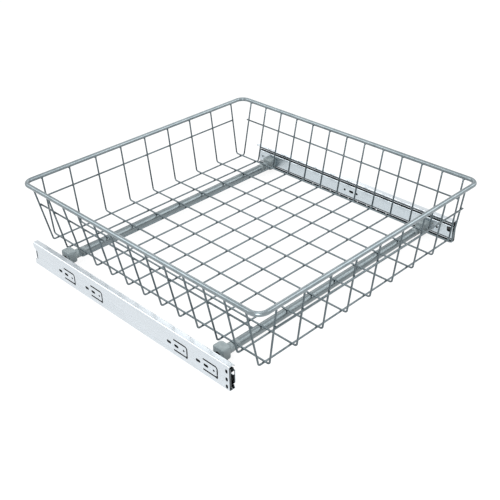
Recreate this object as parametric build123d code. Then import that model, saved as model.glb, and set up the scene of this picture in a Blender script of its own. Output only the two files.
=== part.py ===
from build123d import *
from math import atan2, cos, sin
import os

# A wire basket that pulls out of a cabinet on a pair of telescopic ball slides.
# X runs from the left slide to the right slide, Y from front to back, Z up.
# Z = 0 is the lower edge of the slides, on which the whole set stands.

# Wires of the mesh
wire_d = 3.2             # every thin wire
wire_bend_r = 5.0        # bend between floor and wall, on the wire's centre line
length_wire_count = 9    # wires that run from front to back
length_pitch = 60.0
cross_wire_count = 13    # wires that run from side to side, under the length wires
cross_pitch = 44.5
side_margin = 11.0       # outermost length wire to the foot of a side wall
end_margin = 12.0        # outermost cross wire to the foot of the front or back wall
weld_gap = 0.05          # left between rods that are welded where they cross
cut_over = 1.0           # cuts start and end this far outside the metal

# Walls and rim
rim_d = 8.5              # thick rod round the mouth
rim_corner_r = 18.0      # on the rod's centre line
rim_height = 114.6       # rim centre above the length wires of the floor
side_flare = 27.0        # rim centre outside the foot of a side wall
end_flare = 16.5         # rim centre outside the foot of the front or back wall
wire_inset = 1.5         # wall wires point this far inside the rim's centre
mid_wire_drop = 39.6     # mid-height wires, below the rim's centre
mid_wire_overhang = 1.0  # past the last wall wire at each end

# Cross tubes under the mesh
tube_d = 16.0
tube_wall = 1.2
tube_bays = 1.5          # cross-wire pitches from the outermost cross wire to the tube
tube_end_inset = 10.0    # tube end, inside the outermost length wire
notch_depth = 1.2        # each length wire sinks this deep into the tube

# Moulded fittings that plug into the tube ends
block_t = 19.0           # along the tube
block_w = 24.0           # from front to back
block_h = 23.0
block_drop = 8.6         # block's underside below the tube axis
block_side_r = 6.0       # upright edges towards the tube
block_face_r = 2.5       # upright edges towards the slide
block_top_r = 3.5
block_foot_r = 2.0
dish_d = 12.0            # shallow dish in the top
dish_depth = 0.9
neck_d = 16.6
wire_groove_play = 0.4   # each side of the wire in the neck's groove
plug_length = 22.0
plug_play = 0.05
recess_d = 12.5          # round recess in the fitting's outer face
recess_depth = 7.0
fitting_reach = 20.3     # outer face, outside the foot of the side wall

# Screws that hold the fittings to the slides
screw_d = 4.0
screw_length = 18.0      # under the head
screw_head_d = 7.0
screw_head_h = 2.4
screw_play = 0.1         # round the thread in the fitting
screw_hole_play = 0.3    # round the thread in the slide
screw_head_room = 0.85   # head to the drawer member's lower flange
driver_slot = 0.9
driver_span = 3.8
driver_depth = 1.2
screw_window_w = 21.0    # opening behind each head in the intermediate member
screw_window_h = 10.5

# Slides: cabinet member, intermediate member, drawer member and two ball cages each
slide_height = 45.7
slide_t = 12.7           # cabinet side to fitting
slide_front_setback = 7.0    # front end behind the outermost cross wire
slide_rear_setback = 19.0    # rear end in front of the outermost cross wire
travel_short = 8.0       # full extension, less than the slide's length
left_slide_gap = 20.7    # the left slide stands this far outside its seat
rear_stop_room = 10.0    # inner members end this far short of the cabinet member
cabinet_wall = 1.2
middle_wall = 1.1
drawer_wall = 1.2
cage_wall = 0.6
member_gap = 0.3         # between the webs of members and cages
lip_setback = 0.8        # cabinet member's lips behind the drawer member's face
lip_gap = 0.4            # between the lips of the cabinet and intermediate members
fold_r = 1.4             # sheet folds, on the sheet's centre line
lip_fold_r = 2.0         # cabinet member's folds over the balls
cabinet_lip = 3.2        # height of the lips that close over the balls
middle_lip = 2.6
drawer_flange = 7.9      # depth of the drawer member
ball_d = 4.4
ball_play = 0.05
groove_depth = 0.25      # rolled ball tracks
ball_count = 9           # in each row
cage_end_room = 9.0      # cage to the ends of its members at full extension
cage_end_length = 19.0   # cage beyond its last ball
cage_edge = 0.5          # cage sheet left beside each ball

# Holes and tabs in the cabinet member
cabinet_hole_w = 5.0     # screw holes are short slots along the slide
cabinet_hole_length = 10.0
front_hole_places = (67.5, 134.5)     # from the front end
rear_hole_places = (160.0, 82.0)      # from the rear end
cabinet_hole_drop = 2.0  # below the slide's centre line
tab_step = 17.5          # tab hole in front of the plain hole
tab_rise = 0.2           # middle of the tab above the hole row
tab_height = 19.5        # between the middles of the cuts
tab_tail = 6.5           # tab cut behind the tab hole
tab_nose = 24.5          # tab cut in front of the tab hole
tab_cut = 2.8
tab_corner_r = 4.5
tab_dimple_d = 4.0
tab_dimple_step = 17.0
tab_relief_d = 4.6
mark_w = 4.8             # three short slots close to the front end
mark_h = 7.2
mark_back = 5.6
mark_heights = (12.4, -2.5, -16.0)
rear_notch_w = 24.0
rear_notch_depth = 5.0
stop_tab_w = 12.0
stop_tab_reach = 6.0
stop_slot_w = 2.8
stop_slot_h = 16.5
stop_slot_back = 8.6     # in front of the rear end

# Holes in the drawer member
ring_hole_front = 33.0   # from the front end
ring_hole_rear = 20.0    # from the rear end
ring_hole_d = 5.0
ring_d = 12.0
ring_depth = 0.6
face_hole_front = 76.0   # from the front end
face_hole_rear = 38.0    # from the rear end
face_hole_steps = (-29.0, 2.0)        # from the middle of the slide
face_hole_d = 5.0
face_slot_step = -15.0
face_slot_length = 11.0

# Release levers inside the drawer members
lever_t = 3.2
lever_gap = 0.3          # between lever and drawer member
lever_tip_back = 6.5     # tip behind the front end
lever_tip_room = 0.8     # tip to the drawer member's upper flange
lever_tip_r = 2.9
lever_pivot_back = 44.0
lever_pivot_rise = 3.0
lever_hub_r = 4.2
lever_tail_back = 66.0
lever_tail_rise = 4.2
lever_tail_r = 2.4
lever_window = 10.4      # opening in the drawer member for the lever's tip
lever_proud = 0.5        # tip in front of the drawer member's face
rivet_d = 4.0
rivet_play = 0.06
rivet_head_d = 7.0
rivet_head_t = 1.4

# Places that follow from the sizes above
outer_length_x = (length_wire_count - 1) / 2 * length_pitch
outer_cross_y = (cross_wire_count - 1) / 2 * cross_pitch
foot_x = outer_length_x + side_margin
foot_y = outer_cross_y + end_margin
rim_x = foot_x + side_flare
rim_y = foot_y + end_flare
slide_z = slide_height / 2
slide_front = slide_front_setback - outer_cross_y
slide_rear = outer_cross_y - slide_rear_setback
slide_length = slide_rear - slide_front
slide_middle = (slide_front + slide_rear) / 2
travel = slide_length - travel_short
face_x = foot_x + fitting_reach
cabinet_x = face_x + slide_t

# Slide section: u is the distance from the cabinet side, w the height from the centre line
ball_r = ball_d / 2
track_r = ball_r + ball_play
track_gap = track_r - groove_depth
middle_web_u = cabinet_wall + 2 * member_gap + cage_wall
inner_cage_u = middle_web_u + middle_wall + member_gap
cabinet_lip_u = slide_t - lip_setback
middle_lip_u = cabinet_lip_u - cabinet_wall - lip_gap
outer_ball_w = slide_height / 2 - cabinet_wall - track_gap
middle_half_h = outer_ball_w - track_gap
inner_ball_w = middle_half_h - middle_wall - track_gap
drawer_half_h = inner_ball_w - track_gap
outer_ball_u = cabinet_lip_u - cabinet_wall - member_gap - cage_edge - track_r
inner_ball_u = middle_lip_u - middle_wall - member_gap - cage_edge - track_r
member_length = slide_length - rear_stop_room
cage_middle = slide_front + member_length / 2
cage_length = member_length - travel / 2 - 2 * cage_end_room
ball_pitch = (cage_length - 2 * cage_end_length) / (ball_count - 1)
lever_tip_rise = drawer_half_h - drawer_wall - lever_tip_room - lever_tip_r

# Heights: the screws go through the drawer member on the tubes' axis
screw_drop = drawer_half_h - drawer_wall - screw_head_room - screw_head_d / 2
tube_z = slide_z - screw_drop
tube_y = outer_cross_y - tube_bays * cross_pitch
tube_end_x = outer_length_x - tube_end_inset
length_wire_z = tube_z + tube_d / 2 - notch_depth + wire_d / 2
cross_wire_z = length_wire_z - wire_d - weld_gap
rim_z = length_wire_z + rim_height


def wall_wire(foot, floor_z, rim):
    """One mesh wire: a wall, the floor and the other wall, in the XZ plane."""
    top = rim - wire_inset
    path = FilletPolyline(
        (-top, 0, rim_z), (-foot, 0, floor_z), (foot, 0, floor_z), (top, 0, rim_z),
        radius=wire_bend_r)
    wire = sweep(Plane(path @ 0, z_dir=path % 0) * Circle(wire_d / 2), path=path)
    for side in (-1, 1):
        rod = Cylinder(rim_d / 2 + weld_gap, 2 * rim_d)
        wire -= Pos(side * rim, 0, rim_z) * Rot(90, 0, 0) * rod
    return wire


def mid_wire(foot, floor_z, rim, outermost, layer):
    """Straight wire along Y at mid height; layer is -1 inside the wall and 1 outside it."""
    top = rim - wire_inset
    lean = atan2(top - foot, rim_z - floor_z)
    z = rim_z - mid_wire_drop
    across = foot + (z - floor_z) * (top - foot) / (rim_z - floor_z)
    step = layer * (wire_d + weld_gap)
    length = 2 * outermost + wire_d + 2 * mid_wire_overhang
    rod = Rot(90, 0, 0) * Cylinder(wire_d / 2, length)
    return Pos(across + step * cos(lean), 0, z - step * sin(lean)) * rod


def rim_rod():
    outline = RectangleRounded(2 * rim_x, 2 * rim_y, rim_corner_r)
    path = (Pos(0, 0, rim_z) * outline).wire()
    return sweep(Plane(path @ 0, z_dir=path % 0) * Circle(rim_d / 2), path=path)


def along_x(radius, start, end):
    """Round bar along X on the tube's axis."""
    return Pos((start + end) / 2, 0, tube_z) * Rot(0, 90, 0) * Cylinder(radius, end - start)


def cross_tube():
    """Tube with a shallow notch under each length wire that crosses it."""
    tube = along_x(tube_d / 2, -tube_end_x, tube_end_x)
    tube -= along_x(tube_d / 2 - tube_wall, -tube_end_x, tube_end_x)
    for i in range(1, length_wire_count - 1):
        x = (i - (length_wire_count - 1) / 2) * length_pitch
        rod = Rot(90, 0, 0) * Cylinder(wire_d / 2 + weld_gap, tube_d)
        tube -= Pos(x, 0, length_wire_z) * rod
    return tube


def end_fitting():
    """Right fitting: block against the slide, grooved neck, and plug inside the tube."""
    block = Box(block_t, block_w, block_h)
    upright = block.edges().filter_by(Axis.Z).group_by(Axis.X)
    block = fillet(upright[0], block_side_r)
    upright = block.edges().filter_by(Axis.Z).group_by(Axis.X)
    block = fillet(upright[-1], block_face_r)
    block = fillet(block.faces().sort_by(Axis.Z)[-1].edges(), block_top_r)
    block = fillet(block.faces().sort_by(Axis.Z)[0].edges(), block_foot_r)
    dish_r = (dish_d ** 2 / 4 + dish_depth ** 2) / (2 * dish_depth)
    block -= Pos(0, 0, block_h / 2 - dish_depth + dish_r) * Sphere(dish_r)
    block = Pos(face_x - block_t / 2, 0, tube_z - block_drop + block_h / 2) * block
    neck = along_x(neck_d / 2, tube_end_x, face_x - block_t / 2)
    groove_half = wire_d / 2 + wire_groove_play
    groove_root = length_wire_z - wire_d / 2 - weld_gap - tube_z
    groove = along_x(neck_d, outer_length_x - groove_half, outer_length_x + groove_half)
    groove -= along_x(groove_root, outer_length_x - groove_half, outer_length_x + groove_half)
    plug_r = tube_d / 2 - tube_wall - plug_play
    plug = along_x(plug_r, tube_end_x - plug_length, tube_end_x)
    fitting = block + (neck - groove) + plug
    fitting -= along_x(recess_d / 2, face_x - recess_depth, face_x + cut_over)
    fitting -= along_x(screw_d / 2 + screw_play, face_x - screw_length, face_x)
    return fitting


def screw():
    """Pan-head screw on the tube's axis, from inside the right drawer member."""
    seat = face_x + drawer_wall
    shank = along_x(screw_d / 2, seat - screw_length, seat)
    head = along_x(screw_head_d / 2, seat, seat + screw_head_h)
    head = fillet(head.edges().sort_by(Axis.X)[-1], screw_head_h / 2)
    driver = Box(2 * driver_depth, driver_span, driver_slot)
    driver += Box(2 * driver_depth, driver_slot, driver_span)
    return shank + head - Pos(seat + screw_head_h, 0, tube_z) * driver


def section_point(u, w):
    """A point of the right slide's section, as X and Z."""
    return (cabinet_x - u, slide_z + w)


def sheet_member(half_outline, radii, wall, front, length):
    """Folded sheet: the upper half of its centre line, mirrored, and run along Y."""
    upper = [section_point(u, w) for u, w in half_outline]
    lower = [section_point(u, -w) for u, w in reversed(half_outline)]
    line = FilletPolyline(*(upper + lower), radius=radii + radii[::-1])
    face = trace(line, line_width=wall)
    end = Plane(origin=(0, front + length, 0), x_dir=(1, 0, 0), z_dir=(0, -1, 0))
    return extrude(end * face, amount=length)


def ball_tracks(u, w):
    """Two long rods that cut the upper and lower ball tracks."""
    tracks = []
    for side in (-1, 1):
        x, z = section_point(u, side * w)
        track = Rot(90, 0, 0) * Cylinder(track_r, slide_length + 2 * cut_over)
        tracks.append(Pos(x, slide_middle, z) * track)
    return tracks


def web_cut(sketch, x_low, x_high):
    """Prism along X of a sketch drawn in Y from the front end and w."""
    plane = Plane(origin=(x_low, slide_front, slide_z), x_dir=(0, 1, 0), z_dir=(1, 0, 0))
    return extrude(plane * sketch, amount=x_high - x_low)


def tab_outline(place):
    """C-shaped cut that frees a springy tab round its hole, open to the rear."""
    hole = place - tab_step
    top = -cabinet_hole_drop + tab_rise + tab_height / 2
    foot = top - tab_height
    nose = hole - tab_nose
    tail = hole + tab_tail
    line = FilletPolyline(
        (tail, top), (nose, top), (nose, foot), (tail, foot), radius=[tab_corner_r, tab_cut])
    relief = Pos(nose + tab_cut / 2, foot) * Circle(tab_relief_d / 2)
    return trace(line, line_width=tab_cut) + relief


def cabinet_member():
    half = cabinet_wall / 2
    flange = slide_height / 2 - half
    lip_u = cabinet_lip_u - half
    outline = [(lip_u, slide_height / 2 - cabinet_lip), (lip_u, flange), (half, flange)]
    member = sheet_member(outline, [lip_fold_r, fold_r], cabinet_wall, slide_front, slide_length)
    member -= ball_tracks(outer_ball_u, outer_ball_w)
    low = cabinet_x - 2 * cabinet_wall
    high = cabinet_x + cut_over
    hole = SlotOverall(cabinet_hole_length, cabinet_hole_w)
    places = list(front_hole_places) + [slide_length - place for place in rear_hole_places]
    for place in places:
        member -= web_cut(Pos(place, -cabinet_hole_drop) * hole, low, high)
        member -= web_cut(Pos(place - tab_step, -cabinet_hole_drop) * hole, low, high)
        member -= web_cut(tab_outline(place), low, high)
        dimple_place = place - tab_step - tab_dimple_step
        dimple = Pos(dimple_place, -cabinet_hole_drop) * Circle(tab_dimple_d / 2)
        member -= web_cut(dimple, cabinet_x - half, high)
    mark = Rot(0, 0, 90) * SlotOverall(mark_h, mark_w)
    for height in mark_heights:
        member -= web_cut(Pos(mark_back, height) * mark, low, high)
    notch = Rectangle(2 * rear_notch_depth, rear_notch_w)
    member -= web_cut(Pos(slide_length, 0) * fillet(notch.vertices(), 2 * cabinet_wall), low, high)
    slot = Rot(0, 0, 90) * SlotOverall(stop_slot_h, stop_slot_w)
    member -= web_cut(Pos(slide_length - stop_slot_back, 0) * slot, low, high)
    tab_y = slide_rear - rear_notch_depth - cabinet_wall / 2
    tab = Box(stop_tab_reach, cabinet_wall, stop_tab_w)
    member += Pos(cabinet_x - stop_tab_reach / 2, tab_y, slide_z) * tab
    return member


def intermediate_member():
    half = middle_wall / 2
    flange = middle_half_h - half
    outline = [
        (middle_lip_u - half, middle_half_h - middle_lip),
        (middle_lip_u - half, flange),
        (middle_web_u + half, flange)]
    member = sheet_member(outline, [fold_r, fold_r], middle_wall, slide_front, member_length)
    member -= ball_tracks(outer_ball_u, outer_ball_w)
    member -= ball_tracks(inner_ball_u, inner_ball_w)
    low = cabinet_x - middle_web_u - 2 * middle_wall
    window = SlotOverall(screw_window_w, screw_window_h)
    for y in (-tube_y, tube_y):
        spot = Pos(y - slide_front, -screw_drop) * window
        member -= web_cut(spot, low, low + 3 * middle_wall)
    return member


def drawer_member():
    half = drawer_wall / 2
    outline = [
        (slide_t - drawer_flange, drawer_half_h - half),
        (slide_t - half, drawer_half_h - half)]
    member = sheet_member(outline, [fold_r], drawer_wall, slide_front, member_length)
    member -= ball_tracks(inner_ball_u, inner_ball_w)
    low = face_x - cut_over
    high = face_x + 2 * drawer_wall
    for y in (-tube_y, tube_y):
        hole = Circle(screw_d / 2 + screw_hole_play)
        member -= web_cut(Pos(y - slide_front, -screw_drop) * hole, low, high)
    ring = Circle(ring_d / 2) - Circle(ring_hole_d / 2 + 2 * ring_depth)
    for place in (ring_hole_front, slide_length - ring_hole_rear):
        member -= web_cut(Pos(place, 0) * Circle(ring_hole_d / 2), low, high)
        member -= web_cut(Pos(place, 0) * ring, low, face_x + ring_depth)
    middle = slide_length / 2
    places = [face_hole_front, slide_length - face_hole_rear]
    places += [middle + step for step in face_hole_steps]
    for place in places:
        member -= web_cut(Pos(place, 0) * Circle(face_hole_d / 2), low, high)
    slot = SlotOverall(face_slot_length, face_hole_d)
    member -= web_cut(Pos(middle + face_slot_step, 0) * slot, low, high)
    window_w = lever_tip_rise + lever_tip_r + lever_gap - lever_window / 2
    window = RectangleRounded(lever_window, lever_window, lever_tip_r)
    member -= web_cut(Pos(lever_tip_back, window_w) * window, low, high)
    pivot = lever_circle(lever_pivot_back, lever_pivot_rise, rivet_d / 2 + rivet_play)
    return member - web_cut(pivot, low, high)


def ball_places():
    middle = (ball_count - 1) / 2
    return [cage_middle + (i - middle) * ball_pitch for i in range(ball_count)]


def ball_cage(web_u, tip_u, ball_u, ball_w):
    half = cage_wall / 2
    outline = [(tip_u, ball_w), (web_u + half, ball_w)]
    cage = sheet_member(outline, [2 * half], cage_wall, cage_middle - cage_length / 2, cage_length)
    x, z = section_point(ball_u, 0)
    for side in (-1, 1):
        for y in ball_places():
            cage -= Pos(x, y, z + side * ball_w) * Cylinder(track_r, ball_d)
    return cage


def balls(ball_u, ball_w):
    x, z = section_point(ball_u, 0)
    return [Pos(x, y, z + side * ball_w) * Sphere(ball_r) for side in (-1, 1) for y in ball_places()]


def lever_circle(back, rise, radius):
    return Pos(back, rise) * Circle(radius)


def release_lever():
    """Black lever on a rivet inside the drawer member; its tip shows at the front."""
    tip = lever_circle(lever_tip_back, lever_tip_rise, lever_tip_r)
    hub = lever_circle(lever_pivot_back, lever_pivot_rise, lever_hub_r)
    tail = lever_circle(lever_tail_back, lever_tail_rise, lever_tail_r)
    arms = make_hull(tip.edges() + hub.edges()) + make_hull(hub.edges() + tail.edges())
    near = face_x + drawer_wall + lever_gap
    lever = web_cut(arms, near, near + lever_t)
    lever += web_cut(tip, face_x - lever_proud, near)
    bore = lever_circle(lever_pivot_back, lever_pivot_rise, rivet_d / 2 + rivet_play)
    return lever - web_cut(bore, near - cut_over, near + lever_t + cut_over)


def lever_rivet():
    shank = lever_circle(lever_pivot_back, lever_pivot_rise, rivet_d / 2)
    head = lever_circle(lever_pivot_back, lever_pivot_rise, rivet_head_d / 2)
    shoulder = face_x + drawer_wall + 2 * lever_gap + lever_t
    rivet = web_cut(shank, face_x, shoulder) + web_cut(head, shoulder, shoulder + rivet_head_t)
    return fillet(rivet.edges().sort_by(Axis.X)[-1], rivet_head_t / 2)


def right_slide():
    """Every piece of the right slide with its screws."""
    outer_tip = cabinet_lip_u - cabinet_wall - member_gap
    inner_tip = middle_lip_u - middle_wall - member_gap
    outer_web = cabinet_wall + member_gap
    return {
        "cabinet_member": cabinet_member(),
        "intermediate_member": intermediate_member(),
        "drawer_member": drawer_member(),
        "outer_ball_cage": ball_cage(outer_web, outer_tip, outer_ball_u, outer_ball_w),
        "inner_ball_cage": ball_cage(inner_cage_u, inner_tip, inner_ball_u, inner_ball_w),
        "outer_balls": balls(outer_ball_u, outer_ball_w),
        "inner_balls": balls(inner_ball_u, inner_ball_w),
        "release_lever": release_lever(),
        "lever_rivet": lever_rivet(),
        "fitting_screws": [Pos(0, y, 0) * screw() for y in (-tube_y, tube_y)],
    }


def basket():
    """Every piece of the basket itself, about its own middle."""
    pieces = {"rim_rod": rim_rod()}
    cross = wall_wire(foot_x, cross_wire_z, rim_x)
    for i in range(cross_wire_count):
        y = ((cross_wire_count - 1) / 2 - i) * cross_pitch
        pieces[f"cross_wire_{i + 1:02d}"] = Pos(0, y, 0) * cross
    lengthwise = Rot(0, 0, 90) * wall_wire(foot_y, length_wire_z, rim_y)
    for i in range(length_wire_count):
        x = (i - (length_wire_count - 1) / 2) * length_pitch
        pieces[f"length_wire_{i + 1}"] = Pos(x, 0, 0) * lengthwise
    side_wire = mid_wire(foot_x, cross_wire_z, rim_x, outer_cross_y, -1)
    end_wire = mid_wire(foot_y, length_wire_z, rim_y, outer_length_x, 1)
    pieces["right_mid_wire"] = side_wire
    pieces["left_mid_wire"] = Rot(0, 0, 180) * side_wire
    pieces["back_mid_wire"] = Rot(0, 0, 90) * end_wire
    pieces["front_mid_wire"] = Rot(0, 0, -90) * end_wire
    fitting = end_fitting()
    for name, y in (("front", -tube_y), ("rear", tube_y)):
        pieces[f"{name}_tube"] = Pos(0, y, 0) * cross_tube()
        pieces[f"{name}_right_fitting"] = Pos(0, y, 0) * fitting
        pieces[f"{name}_left_fitting"] = Pos(0, y, 0) * mirror(fitting, about=Plane.YZ)
    return pieces


def solids_of(piece):
    """The solids of a piece, which is a shape or a list of shapes."""
    shapes = piece if isinstance(piece, list) else [piece]
    return [solid for shape in shapes for solid in shape.solids()]


# The origin is the middle of the footprint, so everything moves by half the left slide's gap.
pieces = basket()
for name, piece in right_slide().items():
    pieces[f"right_{name}"] = piece
    mirrored = [mirror(solid, about=Plane.YZ) for solid in solids_of(piece)]
    pieces[f"left_{name}"] = [Pos(-left_slide_gap, 0, 0) * solid for solid in mirrored]

os.makedirs("parts", exist_ok=True)
for name, piece in pieces.items():
    solids = [Pos(left_slide_gap / 2, 0, 0) * solid for solid in solids_of(piece)]
    shape = solids[0] if len(solids) == 1 else Compound(children=solids)
    shape.label = name
    export_step(shape, f"parts/{name}.step")
print("wrote", len(pieces), "nodes")
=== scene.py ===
# A wire basket that pulls out of a cabinet on a pair of telescopic ball slides.
# The sections follow the way it is put together, from the rim to the slides.
from math import cos, pi, sin, tan
from random import Random

import bmesh
import bpy
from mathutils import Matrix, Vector


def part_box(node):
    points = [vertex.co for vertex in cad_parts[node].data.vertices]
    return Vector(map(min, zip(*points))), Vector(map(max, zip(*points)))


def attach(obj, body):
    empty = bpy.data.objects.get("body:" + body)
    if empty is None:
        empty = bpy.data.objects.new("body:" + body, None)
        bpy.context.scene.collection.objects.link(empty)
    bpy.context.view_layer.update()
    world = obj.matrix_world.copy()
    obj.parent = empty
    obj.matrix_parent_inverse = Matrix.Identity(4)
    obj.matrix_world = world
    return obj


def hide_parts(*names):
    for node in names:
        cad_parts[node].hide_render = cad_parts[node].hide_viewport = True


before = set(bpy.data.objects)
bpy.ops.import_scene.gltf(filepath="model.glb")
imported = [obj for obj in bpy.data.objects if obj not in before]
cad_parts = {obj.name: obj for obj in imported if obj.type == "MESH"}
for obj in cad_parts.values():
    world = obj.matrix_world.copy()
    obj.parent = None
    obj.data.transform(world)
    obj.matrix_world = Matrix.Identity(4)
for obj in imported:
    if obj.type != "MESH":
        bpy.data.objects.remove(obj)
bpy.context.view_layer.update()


# Rim rod: one 8.5 mm steel rod bent round the mouth, its two ends butt-welded at the
# middle of the back and ground flush before the whole basket is powder coated.
mm = 0.001
up = Vector((0, 0, 1))
rim_r = 4.25 * mm
rim_bend = 18 * mm
rim_low, rim_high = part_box("rim_rod")
middle = (rim_low + rim_high) / 2
rim_x = (rim_high.x - rim_low.x) / 2 - rim_r
rim_y = (rim_high.y - rim_low.y) / 2 - rim_r
rim_z = middle.z
# A cut end is rounded over: how far in, and how thick there, as shares of the radius.
cut_end = ((0.0, 0.7), (0.1, 0.93), (0.35, 1.0))


def bent_path(corners, bend, closed=False, steps=12):
    """Points along straight runs, with an arc of that radius at each corner."""
    path = []
    for i, corner in enumerate(corners):
        if not closed and i in (0, len(corners) - 1):
            path.append(corner)
            continue
        back = (corners[i - 1] - corner).normalized()
        ahead = (corners[(i + 1) % len(corners)] - corner).normalized()
        half = back.angle(ahead) / 2
        hub = corner + (back + ahead).normalized() * bend / sin(half)
        first = corner + back * bend / tan(half) - hub
        last = corner + ahead * bend / tan(half) - hub
        for k in range(steps + 1):
            path.append(hub + first.slerp(last, k / steps).normalized() * bend)
    return path


def rod(name, path, radius, flat, closed=False, sides=20):
    """A drawn rod along a path that lies in the plane with that normal."""
    count = len(path)
    stations = []
    for i, spot in enumerate(path):
        if closed:
            along = path[(i + 1) % count] - path[i - 1]
        else:
            along = path[min(i + 1, count - 1)] - path[max(i - 1, 0)]
        stations.append((spot, along.normalized(), radius))
    if not closed:
        start, onward, _ = stations.pop(0)
        finish, along, _ = stations.pop()
        for inset, share in cut_end[::-1]:
            stations.insert(0, (start + onward * inset * radius, onward, share * radius))
            stations.append((finish - along * inset * radius, along, share * radius))
    mesh = bmesh.new()
    rings = []
    for spot, along, r in stations:
        side = along.cross(flat).normalized()
        ring = []
        for k in range(sides):
            turn = 2 * pi * k / sides
            ring.append(mesh.verts.new(spot + (side * cos(turn) + flat * sin(turn)) * r))
        rings.append(ring)
    pairs = list(zip(rings, rings[1:]))
    if closed:
        pairs.append((rings[-1], rings[0]))
    for one, two in pairs:
        for k in range(sides):
            j = (k + 1) % sides
            mesh.faces.new((one[k], one[j], two[j], two[k]))
    if not closed:
        mesh.faces.new(rings[0][::-1])
        mesh.faces.new(rings[-1])
    return made(name, mesh)


def made(name, mesh):
    """The smooth-shaded object of a finished mesh."""
    bmesh.ops.recalc_face_normals(mesh, faces=mesh.faces)
    for face in mesh.faces:
        face.smooth = True
    data = bpy.data.meshes.new(name)
    mesh.to_mesh(data)
    mesh.free()
    piece = bpy.data.objects.new(name, data)
    bpy.context.scene.collection.objects.link(piece)
    return piece


def finish_of(name, colour, metallic, roughness):
    """A material with its node tree, its shader and the object's own coordinates."""
    material = bpy.data.materials.new(name)
    material.use_nodes = True
    tree = material.node_tree
    shader = tree.nodes["Principled BSDF"]
    shader.inputs["Base Color"].default_value = (*colour, 1)
    shader.inputs["Metallic"].default_value = metallic
    shader.inputs["Roughness"].default_value = roughness
    place = tree.nodes.new("ShaderNodeTexCoord").outputs["Object"]
    return material, tree, shader, place


def grain(tree, place, scale, detail=2.0, stretch=(1, 1, 1)):
    """Noise of so many cells to the metre, drawn out along an axis where stretch is small."""
    mapping = tree.nodes.new("ShaderNodeMapping")
    mapping.inputs["Scale"].default_value = stretch
    tree.links.new(place, mapping.inputs["Vector"])
    node = tree.nodes.new("ShaderNodeTexNoise")
    node.inputs["Scale"].default_value = scale
    node.inputs["Detail"].default_value = detail
    tree.links.new(mapping.outputs["Vector"], node.inputs["Vector"])
    return node.outputs["Fac"]


def tones(tree, shader, factor, dark, pale, span=(0.35, 0.65)):
    """Colours the shader between two tones as the noise goes from low to high in its span."""
    ramp = tree.nodes.new("ShaderNodeValToRGB")
    for element, position, tone in zip(ramp.color_ramp.elements, span, (dark, pale)):
        element.position = position
        element.color = (*tone, 1)
    tree.links.new(factor, ramp.inputs["Fac"])
    tree.links.new(ramp.outputs["Color"], shader.inputs["Base Color"])


def gloss(tree, shader, factor, low, high):
    """Gives the shader a roughness between two levels, low where the noise is low."""
    node = tree.nodes.new("ShaderNodeMapRange")
    node.inputs["From Min"].default_value = 0.3
    node.inputs["From Max"].default_value = 0.7
    node.inputs["To Min"].default_value = low
    node.inputs["To Max"].default_value = high
    tree.links.new(factor, node.inputs["Value"])
    tree.links.new(node.outputs["Result"], shader.inputs["Roughness"])


def relief(tree, shader, factor, depth, strength):
    """Bumps as deep as that, in metres."""
    node = tree.nodes.new("ShaderNodeBump")
    node.inputs["Distance"].default_value = depth
    node.inputs["Strength"].default_value = strength
    tree.links.new(factor, node.inputs["Height"])
    tree.links.new(node.outputs["Normal"], shader.inputs["Normal"])


def silver_coat(name, dark, pale, rough):
    """A thin satin powder coat with metal flake, slightly pebbled."""
    spread = 0.06
    coat, tree, shader, place = finish_of(name, pale, metallic=0.95, roughness=rough)
    clouds = grain(tree, place, 60)
    flake = grain(tree, place, 2500)
    pebbles = grain(tree, place, 900)
    tones(tree, shader, clouds, dark, pale)
    gloss(tree, shader, flake, rough - spread, rough + spread)
    relief(tree, shader, pebbles, depth=0.03 * mm, strength=0.4)
    return coat


# The rim's coat is painted paler than the wires', as a broad highlight on one coating.
rim_silver_painted_pale = silver_coat("silver coating painted pale on the rim", (0.215, 0.257, 0.275),
                         (0.255, 0.297, 0.315), 0.28)
corners = [Vector((middle.x + sx * rim_x, middle.y + sy * rim_y, rim_z))
           for sx, sy in ((1, 1), (-1, 1), (-1, -1), (1, -1))]
rim_path = bent_path(corners, rim_bend, closed=True, steps=16)
rim = rod("coated_rim_rod", rim_path, rim_r, up, closed=True, sides=28)
rim.data.materials.append(rim_silver_painted_pale)
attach(rim, "basket")
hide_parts("rim_rod")


# Mesh wires: drawn 3.2 mm steel wire. Each is bent into a trough, two walls and the
# floor, and welded under the rim. The thirteen cross wires lie under the nine long ones.
wire_r = 1.6 * mm
wire_bend = 5 * mm
wire_inset = 1.5 * mm
sideways = Vector((1, 0, 0))
lengthways = Vector((0, 1, 0))
cross_foot = 251 * mm
long_foot = 279 * mm
cross_top = rim_x - wire_inset
long_top = rim_y - wire_inset
cross_names = [f"cross_wire_{i:02d}" for i in range(1, 14)]
long_names = [f"length_wire_{i}" for i in range(1, 10)]
cross_places = [(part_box(name)[0].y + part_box(name)[1].y) / 2 for name in cross_names]
long_places = [(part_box(name)[0].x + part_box(name)[1].x) / 2 for name in long_names]
cross_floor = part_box("cross_wire_01")[0].z + wire_r
long_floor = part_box("length_wire_1")[0].z + wire_r
# The wires' coat is painted darker than the rim's, as shade on one coating.
silver = silver_coat("silver coating painted dark on wire", (0.112, 0.143, 0.157),
                     (0.142, 0.174, 0.188), 0.2)


def wire(name, hub, across, foot, top, floor_z):
    """One wire through hub, in the upright plane that across points along."""
    corners = [hub - across * top + up * rim_z, hub - across * foot + up * floor_z,
               hub + across * foot + up * floor_z, hub + across * top + up * rim_z]
    piece = rod("coated_" + name, bent_path(corners, wire_bend), wire_r, across.cross(up))
    piece.data.materials.append(silver)
    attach(piece, "basket")
    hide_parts(name)


for name, y in zip(cross_names, cross_places):
    wire(name, Vector((middle.x, y, 0)), sideways, cross_foot, cross_top, cross_floor)
for name, x in zip(long_names, long_places):
    wire(name, Vector((x, middle.y, 0)), lengthways, long_foot, long_top, long_floor)


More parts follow.
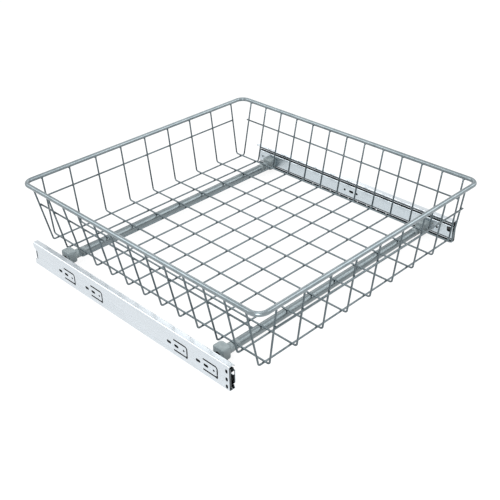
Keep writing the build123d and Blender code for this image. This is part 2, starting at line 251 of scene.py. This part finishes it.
# Mid wires: one straight steel wire half-way up each wall, cut 1 mm past the last wall
# wire. The side ones are welded inside their wall and the end ones outside.
side_wires = ("left_mid_wire", "right_mid_wire")
end_wires = ("front_mid_wire", "back_mid_wire")
mid_lines = {}
for name in side_wires + end_wires:
    low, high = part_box(name)
    hub = (low + high) / 2
    along = lengthways if name in side_wires else sideways
    half = along.dot(high - low) / 2
    mid_lines[name] = hub
    piece = rod("coated_" + name, [hub - along * half, hub + along * half], wire_r, up)
    piece.data.materials.append(silver)
    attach(piece, "basket")
    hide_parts(name)


# Weld spots: where two wires cross, resistance welding squeezes a little steel out of
# the joint. Where wires end under the rim, the weld is a small collar.
lot = Random(7)
smallest_share, largest_share = 0.92, 1.08
bead_sides = 12
bead_rows = 7
# Radius and depth of a weld on the floor, half-way up a wall and under the rim.
floor_bead = (2.1 * mm, 0.9 * mm)
wall_bead = (2.0 * mm, 0.9 * mm)
collar = (2.5 * mm, 1.6 * mm)
collar_in = 1.1 * mm
collar_down = 4.1 * mm
bead_points = []
bead_faces = []


def weld(spot, across, radius, depth):
    """A squashed bead at a joint; across is the line from one wire to the other."""
    turn = across.to_track_quat("Z", "Y")
    wide = radius * lot.uniform(smallest_share, largest_share)
    long = radius * lot.uniform(smallest_share, largest_share)
    first = len(bead_points)
    for row in range(bead_rows):
        tilt = pi * (row + 0.5) / bead_rows
        for k in range(bead_sides):
            swing = 2 * pi * k / bead_sides
            point = Vector((wide * sin(tilt) * cos(swing), long * sin(tilt) * sin(swing),
                            depth * cos(tilt)))
            bead_points.append(spot + turn @ point)
    for row in range(bead_rows - 1):
        for k in range(bead_sides):
            one = first + row * bead_sides
            j = (k + 1) % bead_sides
            bead_faces.append((one + k, one + bead_sides + k, one + bead_sides + j, one + j))
    last = first + (bead_rows - 1) * bead_sides
    bead_faces.append(tuple(range(first, first + bead_sides)))
    bead_faces.append(tuple(range(last, last + bead_sides))[::-1])


for x in long_places:
    for y in cross_places:
        weld(Vector((x, y, long_floor - wire_r)), up, *floor_bead)
for name, hub in mid_lines.items():
    side = -1 if name.startswith(("left", "front")) else 1
    if name in side_wires:
        slope = Vector((side * (cross_top - cross_foot), 0, rim_z - cross_floor)).normalized()
        out = Vector((side * slope.z, 0, -side * slope.x))
        under_rim = middle.x + side * (rim_x - collar_in)
        for y in cross_places:
            weld(Vector((hub.x, y, hub.z)) + out * wire_r, out, *wall_bead)
            weld(Vector((under_rim, y, rim_z - collar_down)), slope, *collar)
    else:
        slope = Vector((0, side * (long_top - long_foot), rim_z - long_floor)).normalized()
        out = Vector((0, side * slope.z, -side * slope.y))
        under_rim = middle.y + side * (rim_y - collar_in)
        for x in long_places:
            weld(Vector((x, hub.y, hub.z)) - out * wire_r, out, *wall_bead)
            weld(Vector((x, under_rim, rim_z - collar_down)), slope, *collar)
spots = bpy.data.meshes.new("beads")
spots.from_pydata(bead_points, [], bead_faces)
bead_mesh = bmesh.new()
bead_mesh.from_mesh(spots)
bpy.data.meshes.remove(spots)
beads = made("weld_spots", bead_mesh)
beads.data.materials.append(silver)
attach(beads, "basket")


# Cross tubes: two 16 mm steel tubes across the underside. The long wires sink into
# shallow notches and are welded there; the tubes carry the same coating, rougher, and
# painted a tone between the rim's and the wires' as their light and shade.
def dress(name, material):
    """Gives a CAD node its finish."""
    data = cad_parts[name].data
    data.materials.clear()
    data.materials.append(material)


satin, tree, shader, place = finish_of("tube coating", (0.2, 0.237, 0.25),
                                       metallic=0.9, roughness=0.34)
tones(tree, shader, grain(tree, place, 40), (0.185, 0.222, 0.235), (0.215, 0.252, 0.265))
gloss(tree, shader, grain(tree, place, 400), low=0.3, high=0.4)
relief(tree, shader, grain(tree, place, 500), depth=0.03 * mm, strength=0.3)
for name in ("front_tube", "rear_tube"):
    dress(name, satin)


# End fittings: moulded nylon blocks plugged into the tubes. Grey with a fine moulded
# grain. Shade is painted near black in the deep round recess and the screw hole.
pocket_r = 6.35 * mm
recess_shade = (0.03, 0.034, 0.035)
both_sides = ("left_", "right_")


def maths(tree, operation, *numbers):
    """One Math node; each number is a value or a socket."""
    node = tree.nodes.new("ShaderNodeMath")
    node.operation = operation
    for socket, number in zip(node.inputs, numbers):
        if isinstance(number, (int, float)):
            socket.default_value = number
        else:
            tree.links.new(number, socket)
    return node.outputs["Value"]


def between(tree, number, low, high):
    """1 where a number lies between two limits, and 0 elsewhere, with soft ends."""
    soft_end = 0.15 * mm
    slope = 0.5 / soft_end
    rising = maths(tree, "MULTIPLY_ADD", number, slope, 0.5 - low * slope)
    falling = maths(tree, "MULTIPLY_ADD", number, -slope, 0.5 + high * slope)
    least = maths(tree, "MINIMUM", rising, falling)
    return maths(tree, "MINIMUM", maths(tree, "MAXIMUM", least, 0), 1)


def darken(tree, shader, mask, colour):
    """Paints a colour over the base colour where the mask is 1."""
    mix = tree.nodes.new("ShaderNodeMix")
    mix.data_type = "RGBA"
    mix.inputs["B"].default_value = (*colour, 1)
    tree.links.new(mask, mix.inputs["Factor"])
    tree.links.new(shader.inputs["Base Color"].links[0].from_socket, mix.inputs["A"])
    tree.links.new(mix.outputs["Result"], shader.inputs["Base Color"])


for end in ("front_", "rear_"):
    low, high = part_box(end + "tube")
    axis_y, axis_z = (low.y + high.y) / 2, (low.z + high.z) / 2
    nylon, tree, shader, place = finish_of(end + "grey nylon", (0.33, 0.395, 0.41),
                                           metallic=0.0, roughness=0.3)
    tones(tree, shader, grain(tree, place, 90), (0.305, 0.365, 0.38), (0.355, 0.42, 0.435))
    gloss(tree, shader, grain(tree, place, 700), low=0.26, high=0.38)
    relief(tree, shader, grain(tree, place, 1600), depth=0.03 * mm, strength=0.4)
    split = tree.nodes.new("ShaderNodeSeparateXYZ")
    tree.links.new(place, split.inputs["Vector"])
    across = maths(tree, "SUBTRACT", split.outputs["Y"], axis_y)
    rise = maths(tree, "SUBTRACT", split.outputs["Z"], axis_z)
    square = maths(tree, "MULTIPLY_ADD", rise, rise, maths(tree, "MULTIPLY", across, across))
    from_axis = maths(tree, "SQRT", square)
    # Painted shade: near black within the recess's radius of the tube's axis.
    darken(tree, shader, between(tree, from_axis, -mm, pocket_r), recess_shade)
    for side in both_sides:
        dress(end + side + "fitting", nylon)


# Cabinet and intermediate members: cold-rolled sheet, roll-formed and bright
# zinc-plated, with faint streaks along the rolling. Shade is painted on: the insides
# darker, and the ball tracks, the fold shoulders and the slots' sheared edges near black.
# Painted shade: a dull grey for the insides, near black for the deep places.
inside_shade = (0.20, 0.222, 0.232)
deep_shade = (0.010, 0.015, 0.018)
# A zone is a span of depths from the cabinet and one of heights from the middle, in mm.
cabinet_inside = ((1.1, 10.8), (-1, 21.8))
cabinet_tracks = ((4, 10.8), (15, 21.8))
cabinet_cuts = ((0.2, 1.05), (-1, 20.8))
middle_inside = ((0, 9.6), (-1, 20))
middle_tracks = ((4, 9.6), (14.9, 20))
middle_folds = ((4, 12), (16.4, 20))


def paint_shade(nodes, side, colour, zone):
    """Paints shade in a colour over the metal of one slide's member in a zone, above and
    below the middle.
    """
    tree, shader, place = nodes
    (near, far), (lowest, highest) = zone
    low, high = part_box(side + "cabinet_member")
    if side == "left_":
        depth = (low.x + near * mm, low.x + far * mm)
    else:
        depth = (high.x - far * mm, high.x - near * mm)
    split = tree.nodes.new("ShaderNodeSeparateXYZ")
    tree.links.new(place, split.inputs["Vector"])
    rise = maths(tree, "SUBTRACT", split.outputs["Z"], (low.z + high.z) / 2)
    size = maths(tree, "ABSOLUTE", rise)
    deep = between(tree, split.outputs["X"], *depth)
    level = between(tree, size, lowest * mm, highest * mm)
    darken(tree, shader, maths(tree, "MULTIPLY", deep, level), colour)


def zinc_plate(name):
    """Bright zinc over streaky rolled sheet."""
    zinc, tree, shader, place = finish_of(name, (0.64, 0.69, 0.73), metallic=1.0,
                                          roughness=0.28)
    streaks = grain(tree, place, 300, stretch=(1, 0.02, 1))
    waves = grain(tree, place, 12, detail=1.0)
    tones(tree, shader, streaks, (0.62, 0.667, 0.705), (0.66, 0.706, 0.742))
    gloss(tree, shader, streaks, low=0.24, high=0.32)
    relief(tree, shader, waves, depth=0.2 * mm, strength=0.15)
    return zinc, tree, shader, place


for side in both_sides:
    zinc, *nodes = zinc_plate(side + "bright zinc")
    paint_shade(nodes, side, inside_shade, cabinet_inside)
    paint_shade(nodes, side, deep_shade, cabinet_tracks)
    paint_shade(nodes, side, deep_shade, cabinet_cuts)
    dress(side + "cabinet_member", zinc)
    zinc, *nodes = zinc_plate(side + "zinc with painted shade")
    paint_shade(nodes, side, inside_shade, middle_inside)
    paint_shade(nodes, side, deep_shade, middle_tracks)
    paint_shade(nodes, side, deep_shade, middle_folds)
    dress(side + "intermediate_member", zinc)


# Drawer members: the same sheet with a duller, finely crystalline plating. Behind the
# face the flanges run in the inner ball tracks, and near-black shade is painted on them.
drawer_flanges = ((4, 11.3), (11.2, 20))
for side in both_sides:
    zinc, *nodes = finish_of(side + "satin zinc", (0.61, 0.67, 0.71), metallic=1.0,
                             roughness=0.34)
    tree, shader, place = nodes
    crystals = tree.nodes.new("ShaderNodeTexVoronoi")
    crystals.inputs["Scale"].default_value = 420
    tree.links.new(place, crystals.inputs["Vector"])
    streaks = grain(tree, place, 500, detail=3.0, stretch=(1, 0.05, 1))
    tones(tree, shader, crystals.outputs["Distance"], (0.625, 0.69, 0.73),
          (0.575, 0.64, 0.68), span=(0.2, 0.7))
    gloss(tree, shader, grain(tree, place, 600), low=0.28, high=0.42)
    relief(tree, shader, streaks, depth=0.02 * mm, strength=0.25)
    paint_shade(nodes, side, deep_shade, drawer_flanges)
    dress(side + "drawer_member", zinc)


# Ball cages: thin blanked steel strip that holds the balls at their spacing and travels
# with them, at half the member's speed. Its colour is painted near black, as shade.
shaded_cage_steel, tree, shader, place = finish_of("cage strip", (0.05, 0.055, 0.057),
                                            metallic=1.0, roughness=0.4)
tones(tree, shader, grain(tree, place, 150), (0.02, 0.024, 0.025), (0.085, 0.092, 0.094))
gloss(tree, shader, grain(tree, place, 400), low=0.3, high=0.55)
for side in both_sides:
    dress(side + "outer_ball_cage", shaded_cage_steel)
    dress(side + "inner_ball_cage", shaded_cage_steel)


# Balls: hardened and polished bearing steel, with a light film of grease. They sit
# loose in the cages' holes and run in the tracks of the members.
ball_steel, tree, shader, place = finish_of("ball steel", (0.72, 0.72, 0.72),
                                            metallic=1.0, roughness=0.1)
gloss(tree, shader, grain(tree, place, 800), low=0.06, high=0.2)
for side in both_sides:
    dress(side + "outer_balls", ball_steel)
    dress(side + "inner_balls", ball_steel)


# Release levers: moulded black acetal with a fine grain. Each turns on a rivet behind
# the drawer member, and its tip shows in a window at the front end.
acetal, tree, shader, place = finish_of("black acetal", (0.018, 0.018, 0.019),
                                        metallic=0.0, roughness=0.38)
tones(tree, shader, grain(tree, place, 300), (0.014, 0.014, 0.015), (0.03, 0.03, 0.031))
gloss(tree, shader, grain(tree, place, 900), low=0.3, high=0.5)
relief(tree, shader, grain(tree, place, 1500), depth=0.03 * mm, strength=0.5)
for side in both_sides:
    dress(side + "release_lever", acetal)


# Rivets and screws: turned and cold-headed steel with bright nickel plating. A rivet
# holds each lever, and two screws hold each drawer member to its end fittings.
nickel, tree, shader, place = finish_of("nickel plating", (0.66, 0.65, 0.62),
                                        metallic=1.0, roughness=0.22)
gloss(tree, shader, grain(tree, place, 900), low=0.16, high=0.34)
relief(tree, shader, grain(tree, place, 700), depth=0.02 * mm, strength=0.4)
for side in both_sides:
    dress(side + "lever_rivet", nickel)
    dress(side + "fitting_screws", nickel)


# Studio: a white paper floor that keeps a soft shadow, under a white surround. Both
# are white to the camera and in gloss, and light the basket less than they show.
surround_light = 0.45
floor_glow = 0.86
floor_half = 12


def shown(tree, hidden, visible, socket):
    """Feeds a socket one level, and another to camera, glossy and transmission rays."""
    path = tree.nodes.new("ShaderNodeLightPath")
    total = path.outputs["Is Camera Ray"]
    for name in ("Is Glossy Ray", "Is Transmission Ray"):
        total = maths(tree, "ADD", total, path.outputs[name])
        total.node.use_clamp = True
    level = tree.nodes.new("ShaderNodeMapRange")
    level.inputs["To Min"].default_value = hidden
    level.inputs["To Max"].default_value = visible
    tree.links.new(total, level.inputs["Value"])
    tree.links.new(level.outputs["Result"], socket)


world = bpy.data.worlds.new("surround")
bpy.context.scene.world = world
world.use_nodes = True
air = world.node_tree.nodes["Background"]
air.inputs["Color"].default_value = (1, 1, 1, 1)
shown(world.node_tree, surround_light, 1.0, air.inputs["Strength"])

floor_mesh = bmesh.new()
bmesh.ops.create_grid(floor_mesh, x_segments=1, y_segments=1, size=floor_half)
floor = made("floor", floor_mesh)
paper, tree, shader, place = finish_of("white paper", (0.28, 0.28, 0.28),
                                       metallic=0.0, roughness=1.0)
shader.inputs["Specular IOR Level"].default_value = 0
tones(tree, shader, grain(tree, place, 300), (0.275, 0.275, 0.275), (0.285, 0.285, 0.285))
shader.inputs["Emission Color"].default_value = (1, 1, 1, 1)
shown(tree, 0.0, floor_glow, shader.inputs["Emission Strength"])
floor.data.materials.append(paper)


# Lamps: all soft. Two large ones, back left and front right, draw the bright lines
# along the rods. Weak ones lift the rods' tops, and a small low one the left slide.
def lamp(name, spot, aim, size, power):
    """A square area lamp, placed and aimed in metres."""
    data = bpy.data.lights.new(name, "AREA")
    data.shape = "SQUARE"
    data.size = size
    data.energy = power
    light = bpy.data.objects.new(name, data)
    light.location = spot
    light.rotation_euler = (Vector(aim) - Vector(spot)).to_track_quat("-Z", "Y").to_euler()
    bpy.context.scene.collection.objects.link(light)


basket_middle = (0, 0, 0.1)
slide_front = (-0.35, -0.25, 0)
lamp("top", (0, 0, 1.9), basket_middle, size=0.9, power=5)
lamp("back left", (-1.0, 1.2, 1.25), basket_middle, size=1.1, power=9)
lamp("front right", (1.2, -1.0, 1.25), basket_middle, size=1.1, power=9)
lamp("back right", (1.3, 1.3, 1.2), basket_middle, size=0.9, power=3)
lamp("front left", (-0.85, -0.75, 0.5), slide_front, size=0.3, power=4)


# Camera: above the front left corner, at the photograph's angle and distance. Its
# place, turn and lens were fitted to the basket's wires and rim.
eye = bpy.data.cameras.new("camera")
eye.lens = 60.64
eye.clip_start = 0.05
camera = bpy.data.objects.new("camera", eye)
camera.location = (-0.93285, -0.9522, 0.82445)
camera.rotation_euler = (1.017773, 0.01502, -0.78981)
bpy.context.scene.collection.objects.link(camera)
bpy.context.scene.camera = camera
bpy.context.scene.view_settings.view_transform = "Standard"
